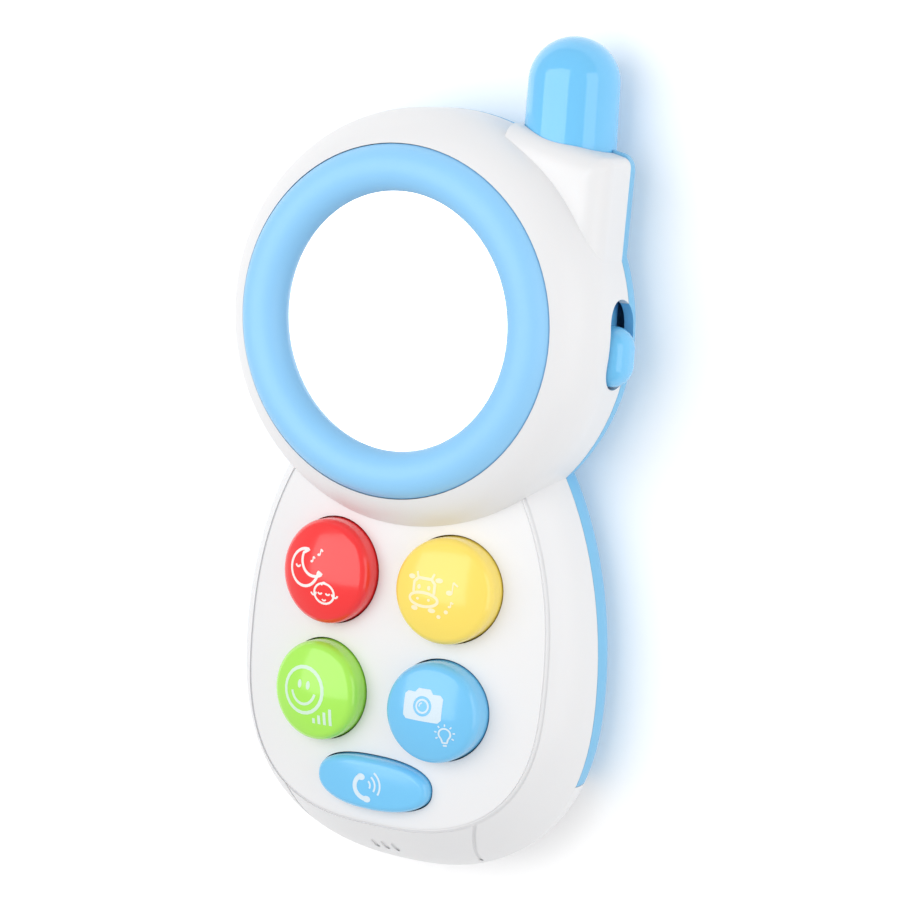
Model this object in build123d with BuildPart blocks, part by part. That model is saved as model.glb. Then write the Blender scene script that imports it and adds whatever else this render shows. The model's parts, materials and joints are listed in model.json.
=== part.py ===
from build123d import *
import os
from math import asin, copysign, cos, degrees, pi, radians, sin, sqrt, tan

# A baby's toy phone, lying on its back. +Z out of its face, +Y towards the antenna, +X to its right.
# The origin is under the mirror's centre, on the flat back that the phone lies on.

os.makedirs("parts", exist_ok=True)

# ---- Driving dimensions, in millimetres ----
WALL = 2.0
PARTING = 12.0  # height where the white front shell meets the blue rear shell
GAP = 0.15  # assembly gap between fixed pieces

HEAD_RADIUS = 44.0
HEAD_BACK_ROUND = 12.0
MOUND_ROUND = 14.4
MOUND_CENTRE = (29.6, 20.35)  # radius from the head's axis, height
FACE_TOP = 33.0  # height of the white rim round the bezel ring
SEAT_TOP = 29.4  # floor that the ring and the mirror sit on

BODY_CENTRE_Y = -74.0
BODY_HALF_WIDTH = 42.7
BODY_UPPER_REACH = 66.0
BODY_CHIN_REACH = 44.0
CHIN_POWER = 2.38  # a fuller curve than an ellipse round the chin
BODY_BACK_ROUND = 10.0
OUTLINE_POINTS = 48

# convex side band from the parting line up to the button panel, steeper round the chin:
# the arc's radius, its draft at the parting line and the angle where it runs on straight
SIDE_BAND = (16.0, 9.0, 57.5)
CHIN_BAND = (30.5, 17.2, 50.0)
BAND_HEIGHTS = [PARTING, 14.5, 17.0, 19.0, 21.0, 23.0, 25.0, 27.5, 30.5]
CREASE_HALF_WIDTH = 0.5

PANEL_TOP = 27.75
PANEL_CENTRE_Y = -90.0
PANEL_ROUND_X = 140.0
PANEL_ROUND_Y = 525.0

CHIN_SPLIT_Y = -95.0  # below this the white shell wraps round to the back
DETAIL_DEPTH = 0.35
CHIN_SEAM = (21.5, -108.7)  # middle of the seam on each side of the chin cup
CHIN_SEAM_TURN = 19.5
CHIN_SLOTS_Y = -113.1

SHOULDER_LEFT = 18.5
SHOULDER_RIGHT = 41.6
SHOULDER_TOP_LEFT_Y = 42.2
SHOULDER_TOP_RIGHT_Y = 36.4
SHOULDER_LEAN = 0.8  # how much the right wall leans in towards the head
SHOULDER_FACE = 24.5
SHOULDER_FACE_ROUND = 5.0
SHOULDER_BACK_ROUND = 11.5
SHOULDER_BACK_STEP = 0.5  # the rear shell's shoulder stands this much inside the front's
SHOULDER_BACK_RISE = 0.8  # and its right end this much above the front's

ANTENNA_X = 27.3
ANTENNA_RADIUS = 9.75
ANTENNA_TIP_RADIUS = 9.5
ANTENNA_TIP_Y = 60.5
ANTENNA_BASE_Y = 25.0
ANTENNA_NECK_RADIUS = 8.5
ANTENNA_NECK_Y = (31.0, 33.0)

RING_RADIUS = 36.5
RING_INNER_RADIUS = 26.8
RING_CROWN = (31.8, 36.2)  # radius, height
RING_POST_RADIUS = 1.5
RING_POSTS_AT = 32.6
MIRROR_RADIUS = 28.1
MIRROR_TOP = 31.4
MIRROR_THICK = 1.5

BUTTON_GAP = 0.3
FLANGE_WIDTH = 1.3
FLANGE_BASE = 20.5
FLANGE_THICK = 1.2
CAP_WALL = 1.8
CAP_SPHERE = 21.6
CAP_RIM_ROUND = 2.5
PLUNGER_RADIUS = 2.6
CAP_CROWN = 6.8  # height above the panel
# name, x, y, radius
ROUND_BUTTONS = [
    ("sleep", -14.3, -54.7, 11.1),
    ("animal", 14.3, -54.7, 11.1),
    ("smile", -14.2, -80.2, 10.6),
    ("camera", 14.2, -80.2, 10.6),
]
CALL_BUTTON_Y = -98.0
CALL_HALF_LENGTH = 13.45
CALL_HALF_WIDTH = 5.55
CALL_POWER = 2.4  # a fuller curve than an ellipse
CALL_CROWN = 3.7
CALL_SPHERE = 42.0
CALL_RIM_ROUND = 1.7

BOARD_TOP = 16.8
BOARD_THICK = 1.6
BOARD_HALF_WIDTH = 29.0
BOARD_UPPER_Y = -39.0
BOARD_LOWER_Y = -106.0
BOARD_SCREWS = [(-25.6, -67.4), (25.6, -67.4), (-21.5, -99.0), (21.5, -99.0)]
BOARD_SCREW_RADIUS = 0.95
POST_RADIUS = 2.6
DOME_HEIGHT = FLANGE_BASE - BOARD_TOP

CASE_SCREWS_HEAD = [(-27.0, 18.6), (7.8, 31.5), (24.2, -22.4), (-24.2, -22.4)]
CASE_SCREWS_BODY = [(-33.5, -84.0), (33.5, -84.0)]
CASE_BOSS_RADIUS = 3.4
CASE_BOSS_BASE = 1.7  # inside the back wall, even where it starts to round up
CASE_SCREW_RADIUS = 1.2
CASE_HEAD_RADIUS = 2.6
CASE_HEAD_TOP = 4.6
BODY_BOSS_TOP = 20.9

SPEAKER_Y = 2.0
SPEAKER_RADIUS = 18.0
SPEAKER_BASE = 2.6
SPEAKER_RIM_TOP = 5.6
MAGNET_RADIUS = 9.0
MAGNET_TOP = 11.0
CLAMP_SCREWS_X = 24.0
CLAMP_THICK = 1.4

SLOT_CENTRE_Y = -1.05
SLOT_Z = 15.1
SLOT_LENGTH = 18.7
SLOT_WIDTH = 10.6
KNOB_Y = -3.5
KNOB_LENGTH = 12.6
KNOB_WIDTH = 9.6
KNOB_TOP_X = 46.4
KNOB_ROUND = 4.3
KNOB_PLATE_X = (38.0, 39.4)
KNOB_PLATE_LENGTH = 22.5
KNOB_PLATE_Z = (8.8, 21.0)
KNOB_TRAVEL = 4.2
SWITCH_X = (28.0, 33.6)

CELL_RADIUS = 5.25
CELL_LENGTH = 44.5
CELL_X = 5.5
CELL_Z = 7.4
BAY_HALF_WIDTH = 11.6
BAY_UPPER_Y = -37.8
BAY_LOWER_Y = -88.4
BAY_WALL = 1.2
BAY_ROOF = 13.2
DOOR_HALF_WIDTH = 14.5
DOOR_UPPER_Y = -30.0
DOOR_LOWER_Y = -90.8
DOOR_THICK = 1.8
DOOR_SCREW_Y = -33.6
DOOR_LEDGE_TOP = 3.6
CONTACT_THICK = 0.4
SPRING_WIRE = 0.3  # radius of the coil's wire
SPRING_RADIUS = 3.6
SPRING_TAPER = 0.25

WIRE_RADIUS = 0.6
WIRE_BEND = 3.0


def write(piece, name):
    """Labels a finished piece and writes it as its own STEP file."""
    piece.part.label = name
    export_step(piece.part, f"parts/{name}.step")


def outline(angle, inset):
    """A point of the lower body's outline, moved inwards by inset."""

    def edge(direction):
        rising = sin(direction) >= 0
        power = 2.0 if rising else CHIN_POWER
        reach = BODY_UPPER_REACH if rising else BODY_CHIN_REACH
        across = abs(cos(direction) / BODY_HALF_WIDTH) ** power
        along = abs(sin(direction) / reach) ** power
        radius = (across + along) ** (-1 / power)
        return Vector(radius * cos(direction), BODY_CENTRE_Y + radius * sin(direction))

    step = 0.001
    tangent = (edge(angle + step) - edge(angle - step)).normalized()
    return edge(angle) + Vector(-tangent.Y, tangent.X) * inset


def closed_curve(place):
    """The smooth closed curve through place(turn) all the way round."""
    with BuildLine() as closed:
        turns = [2 * pi * i / OUTLINE_POINTS for i in range(OUTLINE_POINTS)]
        Spline(*[place(turn) for turn in turns], periodic=True)
    return closed.edges()


def outline_edges(inset):
    """The lower body's closed outline, inset."""
    return closed_curve(lambda turn: outline(turn, inset))


def panel_height(x, y):
    """Height of the button panel at a place."""
    from_axis = PANEL_ROUND_X - PANEL_ROUND_Y + sqrt(PANEL_ROUND_Y**2 - (y - PANEL_CENTRE_Y) ** 2)
    return PANEL_TOP - PANEL_ROUND_X + sqrt(from_axis**2 - x**2)


def panel_normal(x, y):
    """Direction straight out of the button panel at a place."""
    step = 0.01
    slope_x = (panel_height(x + step, y) - panel_height(x - step, y)) / (2 * step)
    slope_y = (panel_height(x, y + step) - panel_height(x, y - step)) / (2 * step)
    return Vector(-slope_x, -slope_y, 1).normalized()


def panel_barrel(inset):
    """A barrel whose top is the doubly curved button panel, inset."""
    with BuildPart() as barrel:
        with BuildSketch(Plane.YZ):
            with BuildLine():
                crown = PANEL_TOP - inset
                low, high = -150.0, 12.0
                round_y = PANEL_ROUND_Y - inset
                axis_z = PANEL_TOP - PANEL_ROUND_X

                def arch(y):
                    return (y, crown - round_y + sqrt(round_y**2 - (y - PANEL_CENTRE_Y) ** 2))

                ThreePointArc(arch(low), arch(PANEL_CENTRE_Y), arch(high))
                Polyline(arch(high), (high, axis_z), (low, axis_z), arch(low))
            make_face()
        revolve(axis=Axis((0, 0, axis_z), (0, 1, 0)))
    return barrel.part


def arched_depth(band, height, inset):
    """How far a band's wall has come in from the outline at a height."""
    arc_radius, draft, top_angle = band
    base = PARTING - arc_radius * sin(radians(draft))
    radius = arc_radius - inset
    top = base + radius * sin(radians(top_angle))
    arched = min(height, top)
    straight_run = (height - arched) * tan(radians(top_angle))
    return arc_radius * cos(radians(draft)) - sqrt(radius**2 - (arched - base) ** 2) + straight_run


def band_depth(turn, height, inset=0.0):
    """The side band's depth in one direction, blended from the sides to the chin."""
    towards_chin = min(max(0.3 - sin(turn), 0), 1)
    chin_share = towards_chin**2 * (3 - 2 * towards_chin)
    side = arched_depth(SIDE_BAND, height, inset)
    return side + chin_share * (arched_depth(CHIN_BAND, height, inset) - side)


def crease(turn, shift):
    """A point of the crease between the side band and the panel, moved outwards by shift."""
    height = PANEL_TOP
    for _ in range(10):
        place = outline(turn, band_depth(turn, height))
        height = panel_height(place.X, place.Y)
    return outline(turn, band_depth(turn, height) - shift)


def body_form(inset):
    """The lower body as a solid block, inset all round."""
    with BuildPart() as body:
        for height in BAND_HEIGHTS:
            with BuildSketch(Plane.XY.offset(height)):
                make_face(closed_curve(lambda turn: outline(turn, band_depth(turn, height, inset))))
        loft()
        add(panel_barrel(inset), mode=Mode.INTERSECT)
        with BuildSketch(Plane.XY.offset(PARTING)):
            make_face(outline_edges(inset))
        extrude(amount=inset - PARTING)
        fillet(body.faces().sort_by(Axis.Z)[0].edges(), radius=BODY_BACK_ROUND - inset)
    return body.part


def head_form(inset, top):
    """The round head as a solid block, inset, and flat at the given top."""
    radius = HEAD_RADIUS - inset
    mound = MOUND_ROUND - inset
    end_angle = degrees(asin((top - MOUND_CENTRE[1]) / mound))
    back_centre = (HEAD_RADIUS - HEAD_BACK_ROUND, HEAD_BACK_ROUND)
    with BuildPart() as head:
        with BuildSketch(Plane.XZ):
            with BuildLine():
                back = CenterArc(back_centre, HEAD_BACK_ROUND - inset, -90, 90)
                side = Line(back @ 1, (radius, MOUND_CENTRE[1]))
                crest = CenterArc(MOUND_CENTRE, mound, 0, end_angle)
                Polyline(crest @ 1, (0, top), (0, inset), back @ 0)
            make_face()
        revolve(axis=Axis.Z)
    return head.part


def shoulder_form():
    """The antenna's shoulder as a solid block with its rounded edges."""
    with BuildPart() as shoulder:
        for step, rise, base, top in (
            (0.0, 0.0, PARTING, SHOULDER_FACE),
            (SHOULDER_BACK_STEP, SHOULDER_BACK_RISE, 0.0, PARTING),
        ):
            right = SHOULDER_RIGHT - step
            with BuildSketch(Plane.XY.offset(base)) as plan:
                with BuildLine():
                    Polyline(
                        (SHOULDER_LEFT, 5),
                        (SHOULDER_LEFT, SHOULDER_TOP_LEFT_Y),
                        (right, SHOULDER_TOP_RIGHT_Y + rise),
                        (right - SHOULDER_LEAN, 5),
                        close=True,
                    )
                make_face()
                fillet(plan.vertices().sort_by(Axis.X)[-1], radius=2.2)
            extrude(amount=top - base)
        for level, radius in ((-1, SHOULDER_FACE_ROUND), (0, SHOULDER_BACK_ROUND)):
            level_edges = shoulder.edges().group_by(Axis.Z)[level]
            fillet(level_edges.filter_by(GeomType.LINE).sort_by(Axis.X)[-1], radius=radius)
    return shoulder.part


def shoulder_hollow():
    """The space inside the shoulder, with the bore that the antenna sits in."""
    with BuildPart() as hollow:
        with BuildSketch(Plane.XY.offset(WALL)):
            with Locations((SHOULDER_LEFT + WALL, 5)):
                width = SHOULDER_RIGHT - SHOULDER_LEFT - SHOULDER_LEAN - SHOULDER_BACK_STEP - 2 * WALL
                Rectangle(width, ANTENNA_NECK_Y[1] - 5, align=(Align.MIN, Align.MIN))
        extrude(amount=SHOULDER_FACE - 2 * WALL)
        low_right = hollow.edges().filter_by(Axis.Y).group_by(Axis.Z)[0].sort_by(Axis.X)[-1]
        fillet(low_right, radius=SHOULDER_BACK_ROUND - WALL)
        with BuildSketch(Plane(origin=(ANTENNA_X, ANTENNA_NECK_Y[1], PARTING), z_dir=(0, 1, 0))):
            Circle(ANTENNA_RADIUS + 0.1)
        extrude(amount=12)
    return hollow.part


def call_edges(inset):
    """The call button's outline, inset."""

    def place(turn):
        across, along = cos(turn), sin(turn)
        x = copysign(abs(across) ** (2 / CALL_POWER), across) * (CALL_HALF_LENGTH - inset)
        y = copysign(abs(along) ** (2 / CALL_POWER), along) * (CALL_HALF_WIDTH - inset)
        return (x, CALL_BUTTON_Y + y)

    return closed_curve(place)


def neck_rib(outer):
    """The rib inside the shoulder that grips the antenna's neck."""
    with BuildPart() as rib:
        add(outer)
        with BuildSketch(Plane(origin=(ANTENNA_X, ANTENNA_NECK_Y[0], PARTING), z_dir=(0, 1, 0))):
            Rectangle(2 * ANTENNA_RADIUS + 5, 40)
            Circle(ANTENNA_NECK_RADIUS + 0.1, mode=Mode.SUBTRACT)
        extrude(amount=ANTENNA_NECK_Y[1] - ANTENNA_NECK_Y[0], mode=Mode.INTERSECT)
    return rib.part


def column(places, radius, base, top):
    """Round columns with their axes upright, between two heights."""
    with BuildPart() as columns:
        with BuildSketch(Plane.XY.offset(base)):
            with Locations(*places):
                Circle(radius)
        extrude(amount=top - base)
    return columns.part


def screws(places, head_base, head_top, head_radius, shank_radius, shank_end):
    """Cross-headed screws whose heads face whichever way the shanks don't."""
    outward = head_base if abs(head_base - shank_end) > abs(head_top - shank_end) else head_top
    inward = head_top if outward == head_base else head_base
    recess = 0.9 if inward > outward else -0.9
    with BuildPart() as group:
        with BuildSketch(Plane.XY.offset(head_base)):
            with Locations(*places):
                Circle(head_radius)
        extrude(amount=head_top - head_base)
        with BuildSketch(Plane.XY.offset(inward)):
            with Locations(*places):
                Circle(shank_radius)
        extrude(amount=shank_end - inward)
        with BuildSketch(Plane.XY.offset(outward)):
            with Locations(*places):
                Rectangle(head_radius * 1.1, 0.6)
                Rectangle(0.6, head_radius * 1.1)
        extrude(amount=recess, mode=Mode.SUBTRACT)
    return group.part


def wire(points):
    """One insulated lead along straight runs joined by arcs."""
    with BuildLine() as route:
        FilletPolyline(*points, radius=WIRE_BEND)
    path = route.wires()[0]
    with BuildPart() as lead:
        with BuildSketch(Plane(origin=path @ 0, z_dir=path % 0)):
            Circle(WIRE_RADIUS)
        sweep(path=path)
    run = WIRE_RADIUS**2 * pi * path.length
    print(f"wire: volume / (section x length) = {lead.part.volume / run:.3f}")
    return lead.part


# ---- The casing's outer form and its hollow, shared by both shells ----
with BuildPart() as surface_details:
    with BuildSketch(Plane.XY.offset(PARTING)):
        make_face(closed_curve(lambda turn: crease(turn, CREASE_HALF_WIDTH)))
        make_face(closed_curve(lambda turn: crease(turn, -CREASE_HALF_WIDTH)), mode=Mode.SUBTRACT)
    extrude(amount=18)
    with BuildSketch(Plane.XY.offset(PARTING)):
        for side in (-1, 1):
            with Locations(Location((side * CHIN_SEAM[0], CHIN_SEAM[1]), -side * CHIN_SEAM_TURN)):
                Rectangle(0.7, 11.6)
        with Locations(*[(x, CHIN_SLOTS_Y) for x in (-2.5, 0, 2.5)]):
            SlotOverall(2.4, 1.4, rotation=90)
    extrude(amount=18)
    add(body_form(DETAIL_DEPTH), mode=Mode.SUBTRACT)

with BuildPart() as casing:
    add(body_form(0))
    add(surface_details.part, mode=Mode.SUBTRACT)
    add(head_form(0, FACE_TOP))
    add(shoulder_form())

with BuildPart() as hollow:
    add(body_form(WALL))
    add(head_form(WALL, SEAT_TOP - WALL))
    add(shoulder_hollow())

with BuildPart() as casing_wall:
    add(casing.part)
    add(hollow.part, mode=Mode.SUBTRACT)
    add(neck_rib(casing.part))

with BuildPart() as side_slot:
    with BuildSketch(Plane.YZ.offset(HEAD_RADIUS - 6)):
        with Locations((SLOT_CENTRE_Y, SLOT_Z)):
            SlotOverall(SLOT_LENGTH, SLOT_WIDTH)
    extrude(amount=8)

ring_post_places = [(RING_POSTS_AT, 0), (0, RING_POSTS_AT), (-RING_POSTS_AT, 0), (0, -RING_POSTS_AT)]
all_case_screws = CASE_SCREWS_HEAD + CASE_SCREWS_BODY

# ---- Front shell ----
with BuildPart() as front_shell:
    add(casing_wall.part)
    with BuildSketch(Plane.XY.offset(-1)):
        with Locations((0, CHIN_SPLIT_Y)):
            Rectangle(120, 160, align=(Align.CENTER, Align.MIN))
    extrude(amount=PARTING + 1, mode=Mode.SUBTRACT)
    add(column([(0, 0)], RING_RADIUS + GAP, SEAT_TOP, FACE_TOP + 1), mode=Mode.SUBTRACT)
    add(column(CASE_SCREWS_HEAD, CASE_BOSS_RADIUS, PARTING, SEAT_TOP - WALL + 0.5))
    add(column(CASE_SCREWS_BODY, CASE_BOSS_RADIUS, PARTING, BODY_BOSS_TOP))
    screw_holes = column(all_case_screws, CASE_SCREW_RADIUS + 0.05, PARTING, BODY_BOSS_TOP - 1)
    add(screw_holes, mode=Mode.SUBTRACT)
    for place in BOARD_SCREWS:
        top = panel_height(*place) - WALL
        add(column([place], POST_RADIUS, BOARD_TOP, top + WALL / 2))
        add(column([place], BOARD_SCREW_RADIUS + 0.05, BOARD_TOP, top - 0.4), mode=Mode.SUBTRACT)
    add(column(ring_post_places, RING_POST_RADIUS + 0.1, SEAT_TOP - 4, SEAT_TOP + 1), mode=Mode.SUBTRACT)
    for name, x, y, radius in ROUND_BUTTONS:
        add(column([(x, y)], radius + BUTTON_GAP, FLANGE_BASE, PANEL_TOP + 2), mode=Mode.SUBTRACT)
    with BuildSketch(Plane.XY.offset(FLANGE_BASE)):
        make_face(call_edges(-BUTTON_GAP))
    extrude(amount=PANEL_TOP + 2 - FLANGE_BASE, mode=Mode.SUBTRACT)
    add(side_slot.part, mode=Mode.SUBTRACT)
write(front_shell, "front_shell")

# ---- Rear shell, with the battery bay, the speaker seat and the screw bosses ----
bay_centre_y = (BAY_UPPER_Y + BAY_LOWER_Y) / 2
bay_length = BAY_UPPER_Y - BAY_LOWER_Y
door_centre_y = (DOOR_UPPER_Y + DOOR_LOWER_Y) / 2
door_length = DOOR_UPPER_Y - DOOR_LOWER_Y
clamp_screw_places = [(-CLAMP_SCREWS_X, SPEAKER_Y), (CLAMP_SCREWS_X, SPEAKER_Y)]

with BuildPart() as rear_shell:
    add(casing_wall.part)
    with BuildSketch(Plane.XY.offset(PARTING - GAP)):
        Rectangle(120, 260)
    extrude(amount=60, mode=Mode.SUBTRACT)
    with BuildSketch(Plane.XY.offset(-1)):
        with Locations((0, CHIN_SPLIT_Y + GAP)):
            Rectangle(120, 60, align=(Align.CENTER, Align.MAX))
    extrude(amount=60, mode=Mode.SUBTRACT)
    add(column(all_case_screws, CASE_BOSS_RADIUS, CASE_BOSS_BASE, PARTING - GAP))
    add(column(all_case_screws, CASE_HEAD_RADIUS + 0.3, -1, CASE_HEAD_TOP), mode=Mode.SUBTRACT)
    add(column(all_case_screws, CASE_SCREW_RADIUS + 0.3, 0, PARTING + 1), mode=Mode.SUBTRACT)
    # battery bay and the ledge that the door closes on
    with BuildSketch(Plane.XY.offset(WALL / 2)):
        with Locations((0, door_centre_y)):
            RectangleRounded(2 * DOOR_HALF_WIDTH + 3, door_length + 3, 4)
    extrude(amount=DOOR_LEDGE_TOP - WALL / 2)
    with BuildSketch(Plane.XY.offset(WALL / 2)):
        with Locations((0, bay_centre_y)):
            Rectangle(2 * (BAY_HALF_WIDTH + BAY_WALL), bay_length + 2 * BAY_WALL)
    extrude(amount=BAY_ROOF + BAY_WALL - WALL / 2)
    add(column([(0, DOOR_SCREW_Y)], 3.4, WALL / 2, 11))
    with BuildSketch(Plane.XY.offset(-1)):
        with Locations((0, door_centre_y)):
            RectangleRounded(2 * (DOOR_HALF_WIDTH + GAP), door_length + 2 * GAP, 3 + GAP)
    extrude(amount=DOOR_THICK + 0.1 + 1, mode=Mode.SUBTRACT)
    with BuildSketch(Plane.XY.offset(-1)):
        with Locations((0, bay_centre_y)):
            Rectangle(2 * BAY_HALF_WIDTH, bay_length)
    extrude(amount=BAY_ROOF + 1, mode=Mode.SUBTRACT)
    with BuildSketch(Plane.XY.offset(BAY_ROOF - 1)):
        with Locations((-CELL_X, BAY_UPPER_Y - 0.4), (CELL_X, BAY_UPPER_Y - 0.4)):
            Rectangle(3.6, 0.8)
    extrude(amount=4, mode=Mode.SUBTRACT)
    add(column([(0, DOOR_SCREW_Y)], 3.75, 0, DOOR_LEDGE_TOP), mode=Mode.SUBTRACT)
    add(column([(0, DOOR_SCREW_Y)], CASE_SCREW_RADIUS, 0, 9.8), mode=Mode.SUBTRACT)
    # speaker seat and grille
    add(column([(0, SPEAKER_Y)], SPEAKER_RADIUS + 1.6, WALL / 2, SPEAKER_BASE + 1.8))
    add(column([(0, SPEAKER_Y)], SPEAKER_RADIUS + 0.2, SPEAKER_BASE, 12), mode=Mode.SUBTRACT)
    add(column([(0, SPEAKER_Y)], SPEAKER_RADIUS - 2.5, WALL, 12), mode=Mode.SUBTRACT)
    add(column(clamp_screw_places, 3.0, WALL / 2, SPEAKER_BASE + 2))
    add(column(clamp_screw_places, BOARD_SCREW_RADIUS + 0.05, SPEAKER_BASE - 0.8, 12), mode=Mode.SUBTRACT)
    with BuildSketch(Plane.XY.offset(-1)):
        with Locations((0, SPEAKER_Y)):
            Circle(1.1)
            for ring in (1, 2, 3):
                with PolarLocations(4.2 * ring, 6 * ring):
                    Circle(1.1)
    extrude(amount=WALL + 2, mode=Mode.SUBTRACT)
    # pedestal for the slide switch
    with BuildSketch(Plane.XY.offset(WALL / 2)):
        with Locations(((SWITCH_X[0] + SWITCH_X[1]) / 2, SLOT_CENTRE_Y)):
            Rectangle(SWITCH_X[1] - SWITCH_X[0], 13)
    extrude(amount=8)
    add(side_slot.part, mode=Mode.SUBTRACT)
write(rear_shell, "rear_shell")

# ---- Bezel ring, mirror and the foam behind it ----
with BuildPart() as bezel_ring:
    with BuildSketch(Plane.XZ):
        with BuildLine():
            outer_edge = (RING_RADIUS, FACE_TOP - 0.4)
            crown = ThreePointArc(outer_edge, RING_CROWN, (RING_INNER_RADIUS, MIRROR_TOP + 0.1))
            Polyline(
                crown @ 1,
                (RING_INNER_RADIUS, MIRROR_TOP),
                (MIRROR_RADIUS + GAP, MIRROR_TOP),
                (MIRROR_RADIUS + GAP, SEAT_TOP),
                (RING_RADIUS, SEAT_TOP),
                crown @ 0,
            )
        make_face()
    revolve(axis=Axis.Z)
    with BuildSketch(Plane.XY.offset(SEAT_TOP)):
        Circle(RING_RADIUS - 2)
        Circle(MIRROR_RADIUS + 2, mode=Mode.SUBTRACT)
    extrude(amount=4, mode=Mode.SUBTRACT)
    add(column(ring_post_places, RING_POST_RADIUS, SEAT_TOP - WALL, SEAT_TOP + 4.2))
    add(column(ring_post_places, RING_POST_RADIUS + 1, SEAT_TOP - WALL - 1.1, SEAT_TOP - WALL))
write(bezel_ring, "bezel_ring")

with BuildPart() as mirror:
    add(column([(0, 0)], MIRROR_RADIUS, MIRROR_TOP - MIRROR_THICK, MIRROR_TOP))
write(mirror, "mirror")

with BuildPart() as mirror_pad:
    add(column([(0, 0)], MIRROR_RADIUS - 0.6, SEAT_TOP, MIRROR_TOP - MIRROR_THICK))
write(mirror_pad, "mirror_pad")

# ---- Antenna, its lamp and the lamp's board ----
with BuildPart() as antenna:
    with BuildSketch(Plane.XY.offset(PARTING)):
        with BuildLine():
            tip_start = ANTENNA_TIP_Y - ANTENNA_TIP_RADIUS
            tip = RadiusArc(
                (ANTENNA_X + ANTENNA_TIP_RADIUS, tip_start), (ANTENNA_X, ANTENNA_TIP_Y), -ANTENNA_TIP_RADIUS
            )
            inner_radius = ANTENNA_NECK_RADIUS - 1
            inner_tip = RadiusArc(
                (ANTENNA_X + inner_radius, tip_start), (ANTENNA_X, tip_start + inner_radius), -inner_radius
            )
            Polyline(
                tip @ 0,
                (ANTENNA_X + ANTENNA_RADIUS, ANTENNA_NECK_Y[1]),
                (ANTENNA_X + ANTENNA_NECK_RADIUS, ANTENNA_NECK_Y[1]),
                (ANTENNA_X + ANTENNA_NECK_RADIUS, ANTENNA_NECK_Y[0]),
                (ANTENNA_X + ANTENNA_RADIUS, ANTENNA_NECK_Y[0]),
                (ANTENNA_X + ANTENNA_RADIUS, ANTENNA_BASE_Y),
                (ANTENNA_X + inner_radius, ANTENNA_BASE_Y),
                inner_tip @ 0,
            )
            Line(tip @ 1, inner_tip @ 1)
        make_face()
    revolve(axis=Axis((ANTENNA_X, 0, PARTING), (0, 1, 0)))
write(antenna, "antenna")

with BuildPart() as led_board:
    with BuildSketch(Plane(origin=(ANTENNA_X, ANTENNA_BASE_Y + 0.8, PARTING), z_dir=(0, 1, 0))):
        Circle(ANTENNA_NECK_RADIUS - 1.05)
    extrude(amount=1.2)
write(led_board, "led_board")

with BuildPart() as antenna_led:
    with BuildSketch(Plane(origin=(ANTENNA_X, ANTENNA_BASE_Y + 2, PARTING), z_dir=(0, 1, 0))):
        Circle(2.9)
    extrude(amount=1)
    with BuildSketch(Plane(origin=(ANTENNA_X, ANTENNA_BASE_Y + 3, PARTING), z_dir=(0, 1, 0))):
        Circle(2.5)
    extrude(amount=7.6)
    fillet(antenna_led.faces().sort_by(Axis.Y)[-1].edges(), radius=2.4)
write(antenna_led, "antenna_led")


# ---- Buttons: a hollow domed cap, a flange under the panel and a plunger, one piece each ----
def domed_cap(plan, x, y, crown, sphere, rim_round, inset):
    """The cap's block on the given plan, cut off by a sphere that leans with the panel."""
    top = Vector(x, y, panel_height(x, y)) + panel_normal(x, y) * (crown - sphere)
    with BuildPart() as cap:
        with BuildSketch(Plane.XY.offset(FLANGE_BASE)):
            plan(inset)
        extrude(amount=18)
        with Locations(top):
            Sphere(sphere - inset, mode=Mode.INTERSECT)
        if inset == 0:
            fillet(cap.faces().sort_by(Axis.Z)[-1].edges(), radius=rim_round)
    return cap.part


def button(plan, x, y, crown, sphere, rim_round):
    """A whole button on the given plan."""
    with BuildPart() as piece:
        add(domed_cap(plan, x, y, crown, sphere, rim_round, 0))
        with BuildSketch(Plane.XY.offset(FLANGE_BASE)):
            plan(-FLANGE_WIDTH)
        extrude(amount=FLANGE_THICK)
        add(domed_cap(plan, x, y, crown, sphere, rim_round, CAP_WALL), mode=Mode.SUBTRACT)
        add(column([(x, y)], PLUNGER_RADIUS, FLANGE_BASE, panel_height(x, y) + crown - CAP_WALL / 2))
    return piece


def round_plan(x, y, radius):
    """A plan that draws the round cap's circle, inset."""

    def plan(inset):
        with Locations((x, y)):
            Circle(radius - inset)

    return plan


def call_plan(inset):
    """Draws the call button's outline, inset."""
    make_face(call_edges(inset))


button_centres = []
for name, x, y, radius in ROUND_BUTTONS:
    cap = button(round_plan(x, y, radius), x, y, CAP_CROWN, CAP_SPHERE, CAP_RIM_ROUND)
    write(cap, f"{name}_button")
    button_centres.append((name, x, y))
call_cap = button(call_plan, 0, CALL_BUTTON_Y, CALL_CROWN, CALL_SPHERE, CALL_RIM_ROUND)
write(call_cap, "call_button")
button_centres.append(("call", 0, CALL_BUTTON_Y))

# ---- Silicone return domes under the plungers ----
for name, x, y in button_centres:
    with BuildPart() as dome:
        with BuildSketch(Plane(origin=(x, y, BOARD_TOP), x_dir=(1, 0, 0), z_dir=(0, -1, 0))):
            with BuildLine():
                Polyline(
                    (4.2, 0),
                    (6.6, 0),
                    (6.6, 0.8),
                    (5.2, 0.8),
                    (3.6, DOME_HEIGHT - 0.9),
                    (3.4, DOME_HEIGHT),
                    (0, DOME_HEIGHT),
                    (0, DOME_HEIGHT - 1.6),
                    (2.8, DOME_HEIGHT - 1.6),
                    close=True,
                )
            make_face()
        revolve(axis=Axis((x, y, 0), (0, 0, 1)))
    write(dome, f"{name}_dome")

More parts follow.
